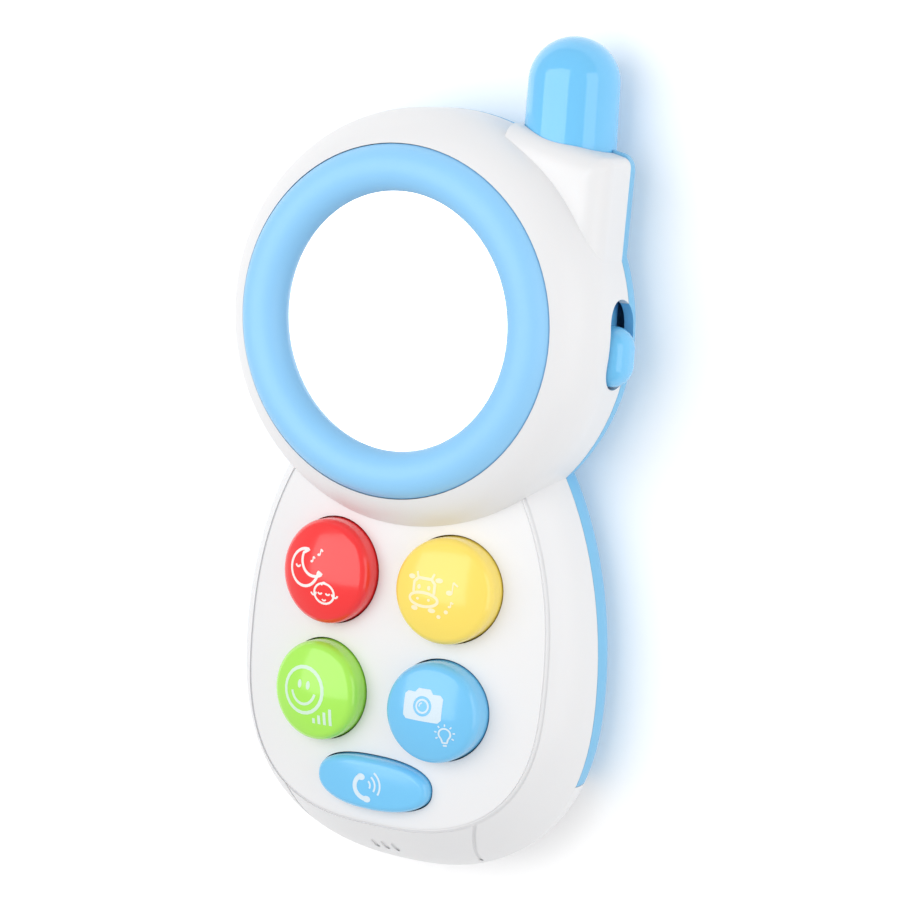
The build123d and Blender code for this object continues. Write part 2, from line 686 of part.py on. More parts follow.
# ---- Main board and what is soldered to it ----
with BuildPart() as main_board:
    with BuildSketch(Plane.XY.offset(BOARD_TOP - BOARD_THICK)) as plan:
        with BuildLine():
            Polyline(
                (-BOARD_HALF_WIDTH, BOARD_UPPER_Y),
                (BOARD_HALF_WIDTH, BOARD_UPPER_Y),
                (BOARD_HALF_WIDTH, -92),
                (19, BOARD_LOWER_Y),
                (-19, BOARD_LOWER_Y),
                (-BOARD_HALF_WIDTH, -92),
                close=True,
            )
        make_face()
        fillet(plan.vertices(), radius=2)
        with Locations(*BOARD_SCREWS):
            Circle(BOARD_SCREW_RADIUS + 0.3, mode=Mode.SUBTRACT)
    extrude(amount=BOARD_THICK)
write(main_board, "main_board")

with BuildPart() as sound_chip:
    add(column([(0, -67.4)], 4.6, BOARD_TOP, BOARD_TOP + 1.6))
    fillet(sound_chip.faces().sort_by(Axis.Z)[-1].edges(), radius=1.4)
write(sound_chip, "sound_chip")

with BuildPart() as board_components:
    add(column([(-24.5, -92.0)], 1.9, BOARD_TOP, BOARD_TOP + 3.2))
    with BuildSketch(Plane.XY.offset(BOARD_TOP)):
        with Locations((26.5, -84), (26.5, -88), (0, -60), (-26.5, -86)):
            Rectangle(2.0, 1.25)
    extrude(amount=0.6)
    with BuildSketch(Plane.XY.offset(BOARD_TOP)):
        with Locations((0, -76), (26.8, -78)):
            Rectangle(2.9, 1.4)
    extrude(amount=1.1)
write(board_components, "board_components")

# ---- Speaker ----
with BuildPart() as speaker_basket:
    with BuildSketch(Plane.XZ.offset(-SPEAKER_Y)):
        with BuildLine():
            Polyline(
                (SPEAKER_RADIUS - 2, SPEAKER_BASE),
                (SPEAKER_RADIUS, SPEAKER_BASE),
                (SPEAKER_RADIUS, SPEAKER_BASE + 2),
                (SPEAKER_RADIUS - 2.2, SPEAKER_BASE + 2),
                (MAGNET_RADIUS + 1, SPEAKER_RIM_TOP + 0.8),
                (0, SPEAKER_RIM_TOP + 0.8),
                (0, SPEAKER_RIM_TOP),
                (MAGNET_RADIUS + 1, SPEAKER_RIM_TOP),
                (SPEAKER_RADIUS - 2, SPEAKER_BASE + 0.8),
                close=True,
            )
        make_face()
    revolve(axis=Axis((0, SPEAKER_Y, 0), (0, 0, 1)))
write(speaker_basket, "speaker_basket")

with BuildPart() as speaker_cone:
    with BuildSketch(Plane.XZ.offset(-SPEAKER_Y)):
        with BuildLine():
            Polyline((15.9, 2.7), (15.9, 3.0), (4.4, 5.0), (0, 4.2), (0, 3.9), (4.4, 4.7), close=True)
        make_face()
    revolve(axis=Axis((0, SPEAKER_Y, 0), (0, 0, 1)))
write(speaker_cone, "speaker_cone")

with BuildPart() as speaker_magnet:
    add(column([(0, SPEAKER_Y)], MAGNET_RADIUS, SPEAKER_RIM_TOP + 0.8, MAGNET_TOP))
    chamfer(speaker_magnet.faces().sort_by(Axis.Z)[-1].edges(), length=0.5)
write(speaker_magnet, "speaker_magnet")

clamp_base = SPEAKER_BASE + 2
with BuildPart() as speaker_clamp:
    with BuildSketch(Plane.XY.offset(clamp_base)):
        with Locations((0, SPEAKER_Y)):
            Circle(SPEAKER_RADIUS + 1.6)
            Rectangle(2 * CLAMP_SCREWS_X, 6)
        with Locations(*clamp_screw_places):
            Circle(3)
        with Locations((0, SPEAKER_Y)):
            Circle(SPEAKER_RADIUS - 2, mode=Mode.SUBTRACT)
        with Locations(*clamp_screw_places):
            Circle(BOARD_SCREW_RADIUS + 0.3, mode=Mode.SUBTRACT)
    extrude(amount=CLAMP_THICK)
write(speaker_clamp, "speaker_clamp")

with BuildPart() as speaker_clamp_screws:
    head_base = clamp_base + CLAMP_THICK
    add(screws(clamp_screw_places, head_base, head_base + 1.4, 2.2, BOARD_SCREW_RADIUS, SPEAKER_BASE - 0.6))
write(speaker_clamp_screws, "speaker_clamp_screws")

# ---- Slide switch and its knob ----
switch_middle_x = (SWITCH_X[0] + SWITCH_X[1]) / 2
with BuildPart() as slide_switch_body:
    with BuildSketch(Plane.XY.offset(9)):
        with Locations((switch_middle_x, SLOT_CENTRE_Y)):
            Rectangle(SWITCH_X[1] - SWITCH_X[0], 13)
    extrude(amount=6)
    fillet(slide_switch_body.edges().filter_by(Axis.Z), radius=0.5)
    with BuildSketch(Plane.XY.offset(PARTING - 1.1)):
        with Locations((SWITCH_X[1] - 2.2, KNOB_Y - 1.3)):
            Rectangle(4, KNOB_TRAVEL + 2.6, align=(Align.MIN, Align.MIN))
    extrude(amount=2.2, mode=Mode.SUBTRACT)
write(slide_switch_body, "slide_switch_body")

with BuildPart() as slide_switch_stem:
    with BuildSketch(Plane.XY.offset(PARTING - 0.9)):
        with Locations((SWITCH_X[1] - 2.0, KNOB_Y)):
            Rectangle(6.0, 2, align=(Align.MIN, Align.CENTER))
    extrude(amount=1.8)
write(slide_switch_stem, "slide_switch_stem")

with BuildPart() as slide_knob:
    with BuildSketch(Plane.YZ.offset(KNOB_PLATE_X[1])):
        with Locations((KNOB_Y, SLOT_Z)):
            SlotOverall(KNOB_LENGTH, KNOB_WIDTH)
    extrude(amount=KNOB_TOP_X - KNOB_PLATE_X[1])
    fillet(slide_knob.faces().sort_by(Axis.X)[-1].edges(), radius=KNOB_ROUND)
    with BuildSketch(Plane.YZ.offset(KNOB_PLATE_X[0])):
        with Locations((KNOB_Y + 1.3, sum(KNOB_PLATE_Z) / 2)):
            RectangleRounded(KNOB_PLATE_LENGTH, KNOB_PLATE_Z[1] - KNOB_PLATE_Z[0], 1.5)
    extrude(amount=KNOB_PLATE_X[1] - KNOB_PLATE_X[0])
    with BuildSketch(Plane.YZ.offset(KNOB_PLATE_X[0] - 2.4)):
        with Locations((KNOB_Y - 1.8, PARTING), (KNOB_Y + 1.8, PARTING)):
            Rectangle(1.4, 4)
    extrude(amount=2.4)
write(slide_knob, "slide_knob")

# ---- Battery door and its screw ----
with BuildPart() as battery_door:
    with BuildSketch():
        with Locations((0, door_centre_y)):
            RectangleRounded(2 * DOOR_HALF_WIDTH, door_length, 3)
    extrude(amount=DOOR_THICK)
    add(column([(0, DOOR_SCREW_Y)], 3.5, 0, DOOR_LEDGE_TOP - 0.2))
    # tongues that locate the door inside the bay's end
    with BuildSketch(Plane.XY.offset(DOOR_THICK)):
        with Locations((-7, BAY_LOWER_Y + 0.8), (7, BAY_LOWER_Y + 0.8)):
            Rectangle(5, 1.2)
    extrude(amount=1.0)
    # shallow grip grooves at the lower end
    with BuildSketch():
        with Locations((0, DOOR_LOWER_Y + 5), (0, DOOR_LOWER_Y + 7.5), (0, DOOR_LOWER_Y + 10)):
            SlotOverall(12, 1.1)
    extrude(amount=0.5, mode=Mode.SUBTRACT)
    add(column([(0, DOOR_SCREW_Y)], CASE_HEAD_RADIUS + 0.2, -1, 1.9), mode=Mode.SUBTRACT)
    add(column([(0, DOOR_SCREW_Y)], CASE_SCREW_RADIUS + 0.3, 0, 5), mode=Mode.SUBTRACT)
write(battery_door, "battery_door")

with BuildPart() as battery_door_screw:
    add(screws([(0, DOOR_SCREW_Y)], 0.4, 1.9, CASE_HEAD_RADIUS, CASE_SCREW_RADIUS - 0.05, 9.4))
write(battery_door_screw, "battery_door_screw")

# ---- Cells and contacts ----
positive_plate_y = BAY_UPPER_Y - CONTACT_THICK
link_plate_y = BAY_LOWER_Y + CONTACT_THICK


def cell(x, nub_y, direction):
    """An AAA cell lying along Y, from its nub's tip towards the other end."""
    with BuildPart() as battery:
        with BuildSketch(Plane(origin=(x, nub_y, CELL_Z), z_dir=(0, direction, 0))):
            Circle(1.9)
        extrude(amount=1.2)
        with BuildSketch(Plane(origin=(x, nub_y + direction, CELL_Z), z_dir=(0, direction, 0))):
            Circle(CELL_RADIUS)
        extrude(amount=CELL_LENGTH - 1)
        shoulder_edges = battery.edges().filter_by(GeomType.CIRCLE).filter_by(lambda e: e.radius > 5)
        chamfer(shoulder_edges, length=0.4)
    return battery


def contact_spring(x, plate_y, direction, length):
    """A conical contact coil on its plate: closed turns, tied to each other on alternate sides."""
    turns = 5
    clear = 0.02
    pitch = (length - 2 * (SPRING_WIRE + clear)) / (turns - 1)
    with BuildPart() as coil:
        for turn in range(turns):
            y = plate_y + direction * (SPRING_WIRE + clear + turn * pitch)
            radius = SPRING_RADIUS - turn * SPRING_TAPER
            with Locations(Location((x, y, CELL_Z), (90, 0, 0))):
                Torus(radius, SPRING_WIRE)
            if turn < turns - 1:
                side = 1 if turn % 2 else -1
                foot = (x + side * (radius - SPRING_TAPER / 2), y, CELL_Z)
                with Locations(Location(foot, (-90 * direction, 0, 0))):
                    Cylinder(SPRING_WIRE, pitch, align=(Align.CENTER, Align.CENTER, Align.MIN))
    return coil.part


write(cell(-CELL_X, positive_plate_y, -1), "battery_left")
write(cell(CELL_X, link_plate_y, 1), "battery_right")

spring_length = bay_length - 2 * CONTACT_THICK - CELL_LENGTH
with BuildPart() as battery_positive_contact:
    with BuildSketch(Plane(origin=(-CELL_X, BAY_UPPER_Y, CELL_Z), x_dir=(1, 0, 0), z_dir=(0, -1, 0))):
        Rectangle(8, 8)
        Rectangle(3, 15.6 - CELL_Z, align=(Align.CENTER, Align.MIN))
    extrude(amount=CONTACT_THICK)
write(battery_positive_contact, "battery_positive_contact")

with BuildPart() as battery_negative_contact:
    with BuildSketch(Plane(origin=(CELL_X, BAY_UPPER_Y, CELL_Z), x_dir=(1, 0, 0), z_dir=(0, -1, 0))):
        Rectangle(8, 8)
        Rectangle(3, 15.6 - CELL_Z, align=(Align.CENTER, Align.MIN))
    extrude(amount=CONTACT_THICK)
    add(contact_spring(CELL_X, positive_plate_y, -1, spring_length))
write(battery_negative_contact, "battery_negative_contact")

with BuildPart() as battery_link_contact:
    with BuildSketch(Plane(origin=(0, BAY_LOWER_Y, CELL_Z), x_dir=(1, 0, 0), z_dir=(0, -1, 0))):
        Rectangle(20, 8)
    extrude(amount=-CONTACT_THICK)
    add(contact_spring(-CELL_X, link_plate_y, 1, spring_length))
write(battery_link_contact, "battery_link_contact")

# ---- Screws ----
with BuildPart() as case_screws:
    head_base = CASE_HEAD_TOP - 1.8
    shank_end = BODY_BOSS_TOP - 1.5
    add(screws(all_case_screws, head_base, CASE_HEAD_TOP, CASE_HEAD_RADIUS, CASE_SCREW_RADIUS, shank_end))
write(case_screws, "case_screws")

with BuildPart() as board_screws:
    head_top = BOARD_TOP - BOARD_THICK
    add(screws(BOARD_SCREWS, head_top - 1.4, head_top, 2.1, BOARD_SCREW_RADIUS, BOARD_TOP + 3.2))
write(board_screws, "board_screws")

# ---- Leads inside the casing, in pairs, each soldered to the board's upper edge ----
LEAD_Z = 21.0
SOLDER_Y = -40.4

with BuildPart() as speaker_wires:
    for x in (-1.5, 1.5):
        start = (x, -12.5, SPEAKER_RIM_TOP + 0.8)
        add(wire([start, (x, -12.5, LEAD_Z), (x, -43.5, LEAD_Z), (x, -43.5, BOARD_TOP)]))
write(speaker_wires, "speaker_wires")

with BuildPart() as battery_wires:
    for x in (-CELL_X, CELL_X):
        tab_y = BAY_UPPER_Y - CONTACT_THICK / 2
        add(wire([(x, tab_y, 15.6), (x, tab_y, 22.5), (x, tab_y - 6.2, 22.5), (x, tab_y - 6.2, BOARD_TOP)]))
write(battery_wires, "battery_wires")

with BuildPart() as switch_wires:
    for x, y in ((16.8, -2.6), (19.0, -5.0)):
        rise = [(SWITCH_X[0], y, PARTING), (x, y, PARTING), (x, y, LEAD_Z)]
        add(wire(rise + [(x, SOLDER_Y, LEAD_Z), (x, SOLDER_Y, BOARD_TOP)]))
write(switch_wires, "switch_wires")

with BuildPart() as lamp_wires:
    for offset in (0.0, 2.2):
        lamp_y = ANTENNA_BASE_Y + 0.8
        x = 11.0 + offset
        add(
            wire(
                [
                    (ANTENNA_X - 3 + offset, lamp_y, PARTING),
                    (ANTENNA_X - 3 + offset, 15, PARTING),
                    (x, 6, LEAD_Z),
                    (x, SOLDER_Y, LEAD_Z),
                    (x, SOLDER_Y, BOARD_TOP),
                ]
            )
        )
write(lamp_wires, "lamp_wires")
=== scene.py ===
import bmesh
import bpy
import json
from math import cos, radians, sin, tau
from mathutils import Matrix, Vector
from mathutils.bvhtree import BVHTree


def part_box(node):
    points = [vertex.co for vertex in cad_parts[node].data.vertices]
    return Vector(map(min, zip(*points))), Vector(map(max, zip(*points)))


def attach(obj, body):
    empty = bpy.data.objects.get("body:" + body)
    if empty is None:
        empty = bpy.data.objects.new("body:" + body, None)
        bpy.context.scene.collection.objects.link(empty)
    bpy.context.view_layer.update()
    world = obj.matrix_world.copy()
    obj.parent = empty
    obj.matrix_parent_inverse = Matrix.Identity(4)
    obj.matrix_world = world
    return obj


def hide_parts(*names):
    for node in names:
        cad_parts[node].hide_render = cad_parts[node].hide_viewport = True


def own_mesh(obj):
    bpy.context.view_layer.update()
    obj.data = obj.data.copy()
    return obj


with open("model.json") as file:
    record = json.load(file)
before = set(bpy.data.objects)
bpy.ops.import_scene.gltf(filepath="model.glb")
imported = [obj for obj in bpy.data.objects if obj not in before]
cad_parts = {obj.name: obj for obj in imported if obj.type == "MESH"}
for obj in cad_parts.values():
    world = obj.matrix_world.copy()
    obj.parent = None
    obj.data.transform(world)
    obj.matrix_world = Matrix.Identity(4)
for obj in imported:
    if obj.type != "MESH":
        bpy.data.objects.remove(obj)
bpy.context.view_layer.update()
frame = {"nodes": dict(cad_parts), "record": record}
nodes = frame["nodes"]
slots = {piece["node"]: piece["material_slot"] for piece in frame["record"]["subparts"]}
MM = 0.001

CAMERA_PLACE = (0.31576, 0.06357, 0.56822)
CAMERA_TARGET = (0.008486, -0.026654, 0.020)
CAMERA_ROLL = 3.86  # degrees
LENS_MM = 121.7
FLOOR_Z = -0.1 * MM  # just under the phone, so that the two faces don't coincide
FLOOR_SIZE = 4.0
WORLD_STRENGTH = 0.57
WELD = 1e-6  # vertices closer than this become one


# ---- Camera, floor and studio light ----
def aim(thing, place, target, roll=0.0):
    """Points a camera or light at a target, with +Y up in its picture, rolled anticlockwise."""
    place, target = Vector(place), Vector(target)
    back = (place - target).normalized()
    right = Vector((0, 1, 0)).cross(back).normalized()
    up = back.cross(right)
    turn = Matrix.Rotation(roll, 3, back)
    axes = Matrix((turn @ right, turn @ up, back)).transposed()
    thing.matrix_world = Matrix.Translation(place) @ axes.to_4x4()


lens = bpy.data.cameras.new("photo_camera")
lens.lens = LENS_MM
lens.sensor_width = 36.0
camera = bpy.data.objects.new("photo_camera", lens)
bpy.context.collection.objects.link(camera)
aim(camera, CAMERA_PLACE, CAMERA_TARGET, radians(CAMERA_ROLL))
bpy.context.scene.camera = camera
bpy.context.scene.view_settings.view_transform = "Standard"


def softbox(name, place, target, size, power):
    """A rectangular area light: size is across and up in metres, power in watts."""
    data = bpy.data.lights.new(name, "AREA")
    data.shape = "RECTANGLE"
    data.size, data.size_y = size
    data.energy = power
    light = bpy.data.objects.new(name, data)
    bpy.context.collection.objects.link(light)
    aim(light, place, target)


softbox("overhead_left", (-0.27, 0.10, 0.60), (-0.27, 0.05, 0.02), (0.88, 0.62), 3.1)
softbox("low_right", (0.72, 0.0, 0.22), (0, -0.03, 0.02), (0.40, 0.8), 1.4)

world = bpy.data.worlds.new("studio")
bpy.context.scene.world = world
world.use_nodes = True
background = world.node_tree.nodes["Background"]
background.inputs["Color"].default_value = (1.0, 1.0, 1.0, 1)
background.inputs["Strength"].default_value = WORLD_STRENGTH

bpy.ops.mesh.primitive_plane_add(size=FLOOR_SIZE, location=(0, 0, FLOOR_Z))
floor = bpy.context.object
floor.name = "floor"


# ---- Materials ----
def new_material(name):
    """A node material, its shader, a function that adds a node, one that links and its coordinates."""
    made = bpy.data.materials.new(name)
    made.use_nodes = True
    tree = made.node_tree
    shader = tree.nodes["Principled BSDF"]

    def node(kind, **inputs):
        added = tree.nodes.new(kind)
        for key, value in inputs.items():
            added.inputs[key.replace("_", " ")].default_value = value
        return added

    def link(source, output, target, socket):
        tree.links.new(source.outputs[output], target.inputs[socket])

    place = node("ShaderNodeTexCoord")
    return made, shader, node, link, place


def noise(node, link, place, scale, detail=3.0, roughness=0.5):
    """Fine noise in the object's own space."""
    made = node("ShaderNodeTexNoise", Scale=scale, Detail=detail, Roughness=roughness)
    link(place, "Object", made, "Vector")
    return made


def colour_ramp(node, link, source, low, high, first, second):
    """Blends two colours between two values of a source."""
    ramp = node("ShaderNodeValToRGB")
    link(source, 0, ramp, "Fac")
    ramp.color_ramp.elements[0].position = low
    ramp.color_ramp.elements[1].position = high
    ramp.color_ramp.elements[0].color = (*first, 1)
    ramp.color_ramp.elements[1].color = (*second, 1)
    return ramp


def value_range(node, link, source, low, high):
    """Maps a 0 to 1 source onto a range."""
    made = node("ShaderNodeMapRange", To_Min=low, To_Max=high)
    link(source, 0, made, "Value")
    return made


def bumped(node, link, shader, source, output, distance, strength=1.0):
    """Adds a bump of a real height, in metres."""
    bump = node("ShaderNodeBump", Strength=strength, Distance=distance)
    link(source, output, bump, "Height")
    link(bump, "Normal", shader, "Normal")


def shade(colour, factor):
    """A colour made lighter or darker."""
    return tuple(min(channel * factor, 1.0) for channel in colour)


def moulded_plastic(name, colour, roughness, grain=0.0, coat=0.0, spread=0.05):
    """Injection-moulded plastic: faint flow marks in its colour, uneven gloss and a fine grain."""
    made, shader, node, link, place = new_material(name)
    flow = noise(node, link, place, 38.0, 2.0)
    darker, lighter = shade(colour, 1 - spread / 2), shade(colour, 1 + spread / 2)
    tint = colour_ramp(node, link, flow, 0.3, 0.7, darker, lighter)
    link(tint, "Color", shader, "Base Color")
    wear = noise(node, link, place, 420.0, 4.0, 0.6)
    link(value_range(node, link, wear, roughness * 0.8, roughness * 1.25), 0, shader, "Roughness")
    texture = noise(node, link, place, 5200.0 if grain else 600.0, 2.0)
    bumped(node, link, shader, texture, 0, grain or 4e-6, 0.5)
    shader.inputs["Coat Weight"].default_value = coat
    shader.inputs["Coat Roughness"].default_value = 0.09
    shader.inputs["Subsurface Weight"].default_value = 0.08
    shader.inputs["Subsurface Radius"].default_value = (0.0015, 0.0012, 0.001)
    return made


def metal(name, colour, roughness, brush=(60.0, 60.0, 1400.0)):
    """Metal with fine brushing and small stains."""
    made, shader, node, link, place = new_material(name)
    stretch = node("ShaderNodeMapping", Scale=brush)
    link(place, "Object", stretch, "Vector")
    lines = node("ShaderNodeTexNoise", Scale=6.0, Detail=4.0)
    link(stretch, "Vector", lines, "Vector")
    tint = colour_ramp(node, link, lines, 0.3, 0.7, shade(colour, 0.86), colour)
    link(tint, "Color", shader, "Base Color")
    link(value_range(node, link, lines, roughness * 0.7, roughness * 1.4), 0, shader, "Roughness")
    bumped(node, link, shader, lines, 0, 6e-6, 0.6)
    shader.inputs["Metallic"].default_value = 1.0
    return made


def floor_paper():
    """Pale matt paper that glows a little, to keep the shadow soft."""
    made, shader, node, link, place = new_material("floor_paper")
    fibre = noise(node, link, place, 900.0)
    tint = colour_ramp(node, link, fibre, 0.3, 0.7, (0.955, 0.955, 0.96), (0.97, 0.97, 0.972))
    link(tint, "Color", shader, "Base Color")
    bumped(node, link, shader, fibre, 0, 1e-5)
    shader.inputs["Roughness"].default_value = 0.95
    shader.inputs["Specular IOR Level"].default_value = 0.1
    shader.inputs["Emission Color"].default_value = (1, 1, 1, 1)
    shader.inputs["Emission Strength"].default_value = 0.12
    return made


def mirror_face():
    """Acrylic mirror: bright metal behind a clear face, with hairline scratches."""
    made, shader, node, link, place = new_material("mirror_face")
    stretch = node("ShaderNodeMapping", Scale=(900.0, 60.0, 1.0), Rotation=(0, 0, 0.6))
    link(place, "Object", stretch, "Vector")
    hairs = node("ShaderNodeTexNoise", Scale=2.0, Detail=3.0)
    link(stretch, "Vector", hairs, "Vector")
    link(value_range(node, link, hairs, 0.015, 0.05), 0, shader, "Roughness")
    haze = noise(node, link, place, 60.0)
    tint = colour_ramp(node, link, haze, 0.3, 0.7, (0.955, 0.96, 0.965), (0.98, 0.982, 0.985))
    link(tint, "Color", shader, "Base Color")
    bumped(node, link, shader, hairs, 0, 4e-7, 0.3)
    shader.inputs["Metallic"].default_value = 1.0
    shader.inputs["Coat Weight"].default_value = 0.5
    shader.inputs["Coat Roughness"].default_value = 0.02
    return made


def foam_pad():
    """Grey open-celled foam."""
    made, shader, node, link, place = new_material("foam_pad")
    cells = node("ShaderNodeTexVoronoi", Scale=2200.0)
    link(place, "Object", cells, "Vector")
    tint = colour_ramp(node, link, cells, 0.0, 0.6, (0.5, 0.5, 0.48), (0.72, 0.72, 0.7))
    link(tint, "Color", shader, "Base Color")
    bumped(node, link, shader, cells, "Distance", 1.5e-4)
    shader.inputs["Roughness"].default_value = 0.9
    return made


def rubber(name, colour):
    """Soft silicone or cable sleeve, slightly dusty."""
    made, shader, node, link, place = new_material(name)
    dust = noise(node, link, place, 1500.0, 4.0)
    tint = colour_ramp(node, link, dust, 0.35, 0.75, colour, shade(colour, 1.25))
    link(tint, "Color", shader, "Base Color")
    link(value_range(node, link, dust, 0.38, 0.6), 0, shader, "Roughness")
    bumped(node, link, shader, dust, 0, 1e-5)
    shader.inputs["Subsurface Weight"].default_value = 0.15
    shader.inputs["Subsurface Radius"].default_value = (0.002, 0.002, 0.002)
    return made


def solder_mask():
    """Green circuit board with lighter traces under the mask."""
    made, shader, node, link, place = new_material("solder_mask")
    tracks = node("ShaderNodeTexBrick", Scale=210.0, Mortar_Size=0.07, Brick_Width=1.3, Row_Height=0.42)
    tracks.inputs["Color1"].default_value = (0.012, 0.12, 0.04, 1)
    tracks.inputs["Color2"].default_value = (0.014, 0.14, 0.05, 1)
    tracks.inputs["Mortar"].default_value = (0.03, 0.24, 0.09, 1)
    link(place, "Object", tracks, "Vector")
    link(tracks, "Color", shader, "Base Color")
    weave = noise(node, link, place, 2500.0)
    link(value_range(node, link, weave, 0.22, 0.34), 0, shader, "Roughness")
    bumped(node, link, shader, tracks, "Fac", 2e-5, 0.6)
    shader.inputs["Coat Weight"].default_value = 0.3
    return made


def paper_cone():
    """Black fibrous paper of a speaker's cone."""
    made, shader, node, link, place = new_material("paper_cone")
    fibre = noise(node, link, place, 3200.0, 6.0, 0.7)
    tint = colour_ramp(node, link, fibre, 0.3, 0.8, (0.012, 0.012, 0.012), (0.05, 0.048, 0.045))
    link(tint, "Color", shader, "Base Color")
    bumped(node, link, shader, fibre, 0, 6e-5)
    shader.inputs["Roughness"].default_value = 0.92
    return made


def clear_epoxy():
    """Clear resin of a lamp, slightly hazy."""
    made, shader, node, link, place = new_material("clear_epoxy")
    haze = noise(node, link, place, 500.0)
    tint = colour_ramp(node, link, haze, 0.3, 0.7, (0.9, 0.93, 0.95), (0.97, 0.98, 1.0))
    link(tint, "Color", shader, "Base Color")
    link(value_range(node, link, haze, 0.03, 0.08), 0, shader, "Roughness")
    shader.inputs["Transmission Weight"].default_value = 0.85
    shader.inputs["IOR"].default_value = 1.53
    return made


def sleeve(name, flipped):
    """A battery's sleeve: dark barrel, copper-coloured band towards the nub, bright rims.

    The nub is at the cell's +Y end unless it lies the other way round."""
    made, shader, node, link, place = new_material(name)
    split = node("ShaderNodeSeparateXYZ")
    link(place, "Generated", split, "Vector")
    ramp = node("ShaderNodeValToRGB")
    link(split, "Y", ramp, "Fac")
    ramp.color_ramp.interpolation = "CONSTANT"
    bright, stripe = (0.6, 0.6, 0.62), (0.75, 0.75, 0.76)
    dark, copper = (0.02, 0.022, 0.03), (0.5, 0.2, 0.08)
    bands = [(0.0, bright), (0.025, dark), (0.62, stripe), (0.635, copper), (0.955, bright)]
    if flipped:
        starts = [0.0] + [1 - start for start, colour in reversed(bands[1:])]
        bands = list(zip(starts, [colour for start, colour in reversed(bands)]))
    elements = ramp.color_ramp.elements
    elements.remove(elements[1])
    elements[0].color = (*bands[0][1], 1)
    for start, colour in bands[1:]:
        elements.new(start).color = (*colour, 1)
    link(ramp, "Color", shader, "Base Color")
    scuff = noise(node, link, place, 900.0, 5.0)
    link(value_range(node, link, scuff, 0.14, 0.3), 0, shader, "Roughness")
    bumped(node, link, shader, scuff, 0, 5e-6)
    shader.inputs["Metallic"].default_value = 0.55
    shader.inputs["Coat Weight"].default_value = 0.6
    return made


finish = {
    "white_shell": moulded_plastic("white_abs", (0.81, 0.81, 0.82), 0.36, 3e-6, spread=0.012),
    "blue_shell": moulded_plastic("blue_abs", (0.19, 0.52, 0.80), 0.36, 3e-6),
    "ring_blue": moulded_plastic("ring_abs", (0.28, 0.61, 0.93), 0.42, 3e-6, spread=0.02),
    "antenna_blue": moulded_plastic("antenna_gloss", (0.16, 0.56, 0.92), 0.10, coat=0.5, spread=0.02),
    "mirror": mirror_face(),
    "foam": foam_pad(),
    "button_red": moulded_plastic("red_gloss", (0.92, 0.028, 0.03), 0.2, coat=0.4, spread=0.02),
    "button_yellow": moulded_plastic("yellow_gloss", (0.97, 0.74, 0.13), 0.2, coat=0.4, spread=0.02),
    "button_green": moulded_plastic("green_gloss", (0.40, 0.85, 0.095), 0.2, coat=0.4, spread=0.02),
    "button_blue": moulded_plastic("blue_gloss", (0.17, 0.56, 0.90), 0.2, coat=0.4, spread=0.02),
    "silicone": rubber("grey_silicone", (0.55, 0.55, 0.56)),
    "board": solder_mask(),
    "resin": moulded_plastic("black_resin", (0.012, 0.012, 0.013), 0.18, coat=0.3),
    "component": moulded_plastic("component_black", (0.03, 0.03, 0.033), 0.4, 4e-6),
    "steel": metal("zinc_steel", (0.62, 0.62, 0.64), 0.26),
    "magnet": metal("nickel", (0.6, 0.59, 0.57), 0.16),
    "paper": paper_cone(),
    "lamp": clear_epoxy(),
    "wire_red": rubber("red_sleeve", (0.6, 0.03, 0.03)),
    "wire_black": rubber("black_sleeve", (0.03, 0.03, 0.03)),
}
floor.data.materials.append(floor_paper())
cell_finish = {
    "battery_left": sleeve("sleeve_left", False),
    "battery_right": sleeve("sleeve_right", True),
}
for name, slot in slots.items():
    target = nodes[name]
    target.data.materials.clear()
    target.data.materials.append(cell_finish.get(name) or finish[slot])


# ---- Soft return domes ----
DOME_STEPS = 64  # facets round a dome
DOME_TOP_THICK = 1.6  # millimetres


def soft_dome(button):
    """A silicone return dome, turned about its axis: a foot, a thin sloping web and a solid top."""
    node = f"{button}_dome"
    low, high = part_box(node)
    base = Vector(((low[0] + high[0]) / 2, (low[1] + high[1]) / 2, low[2]))
    height = high[2] - low[2]
    top, under = height / MM, height / MM - DOME_TOP_THICK
    web = [(0, top), (3.3, top), (3.5, top - 0.2), (3.6, top - 0.8), (4.9, 1.05), (5.2, 0.82)]
    foot = [(6.4, 0.8), (6.6, 0.6), (6.6, 0), (4.2, 0), (2.95, under - 0.2), (2.7, under), (0, under)]
    bm = bmesh.new()
    line = [bm.verts.new((radius * MM, 0, level * MM)) for radius, level in web + foot]
    edges = [bm.edges.new(pair) for pair in zip(line, line[1:])]
    bmesh.ops.spin(bm, geom=line + edges, cent=(0, 0, 0), axis=(0, 0, 1), angle=tau, steps=DOME_STEPS)
    bmesh.ops.remove_doubles(bm, verts=bm.verts, dist=WELD)
    bmesh.ops.recalc_face_normals(bm, faces=bm.faces)
    mesh = bpy.data.meshes.new(f"{node}_soft")
    bm.to_mesh(mesh)
    bm.free()
    mesh.shade_smooth()
    mesh.set_sharp_from_angle(angle=radians(30))
    mesh.materials.append(finish[slots[node]])
    piece = bpy.data.objects.new(f"{node}_soft", mesh)
    piece.location = base
    bpy.context.collection.objects.link(piece)
    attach(piece, "casing")
    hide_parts(node)
    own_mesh(piece)


for button in ("sleep", "animal", "smile", "camera", "call"):
    soft_dome(button)


# ---- Printed pictures on the buttons ----
PRINT_STEP = 0.35 * MM  # longest side of a printed facet
PRINT_LIFT = 0.02 * MM
PRINT_THICK = 0.04 * MM
STROKE = 0.62 * MM
FINE = 0.36 * MM
RAY_START = 0.01  # above a button's top, where the rays that find its surface begin
PATCH_MIDDLE = 0.02  # size of a patch's innermost ring, as a share of the patch


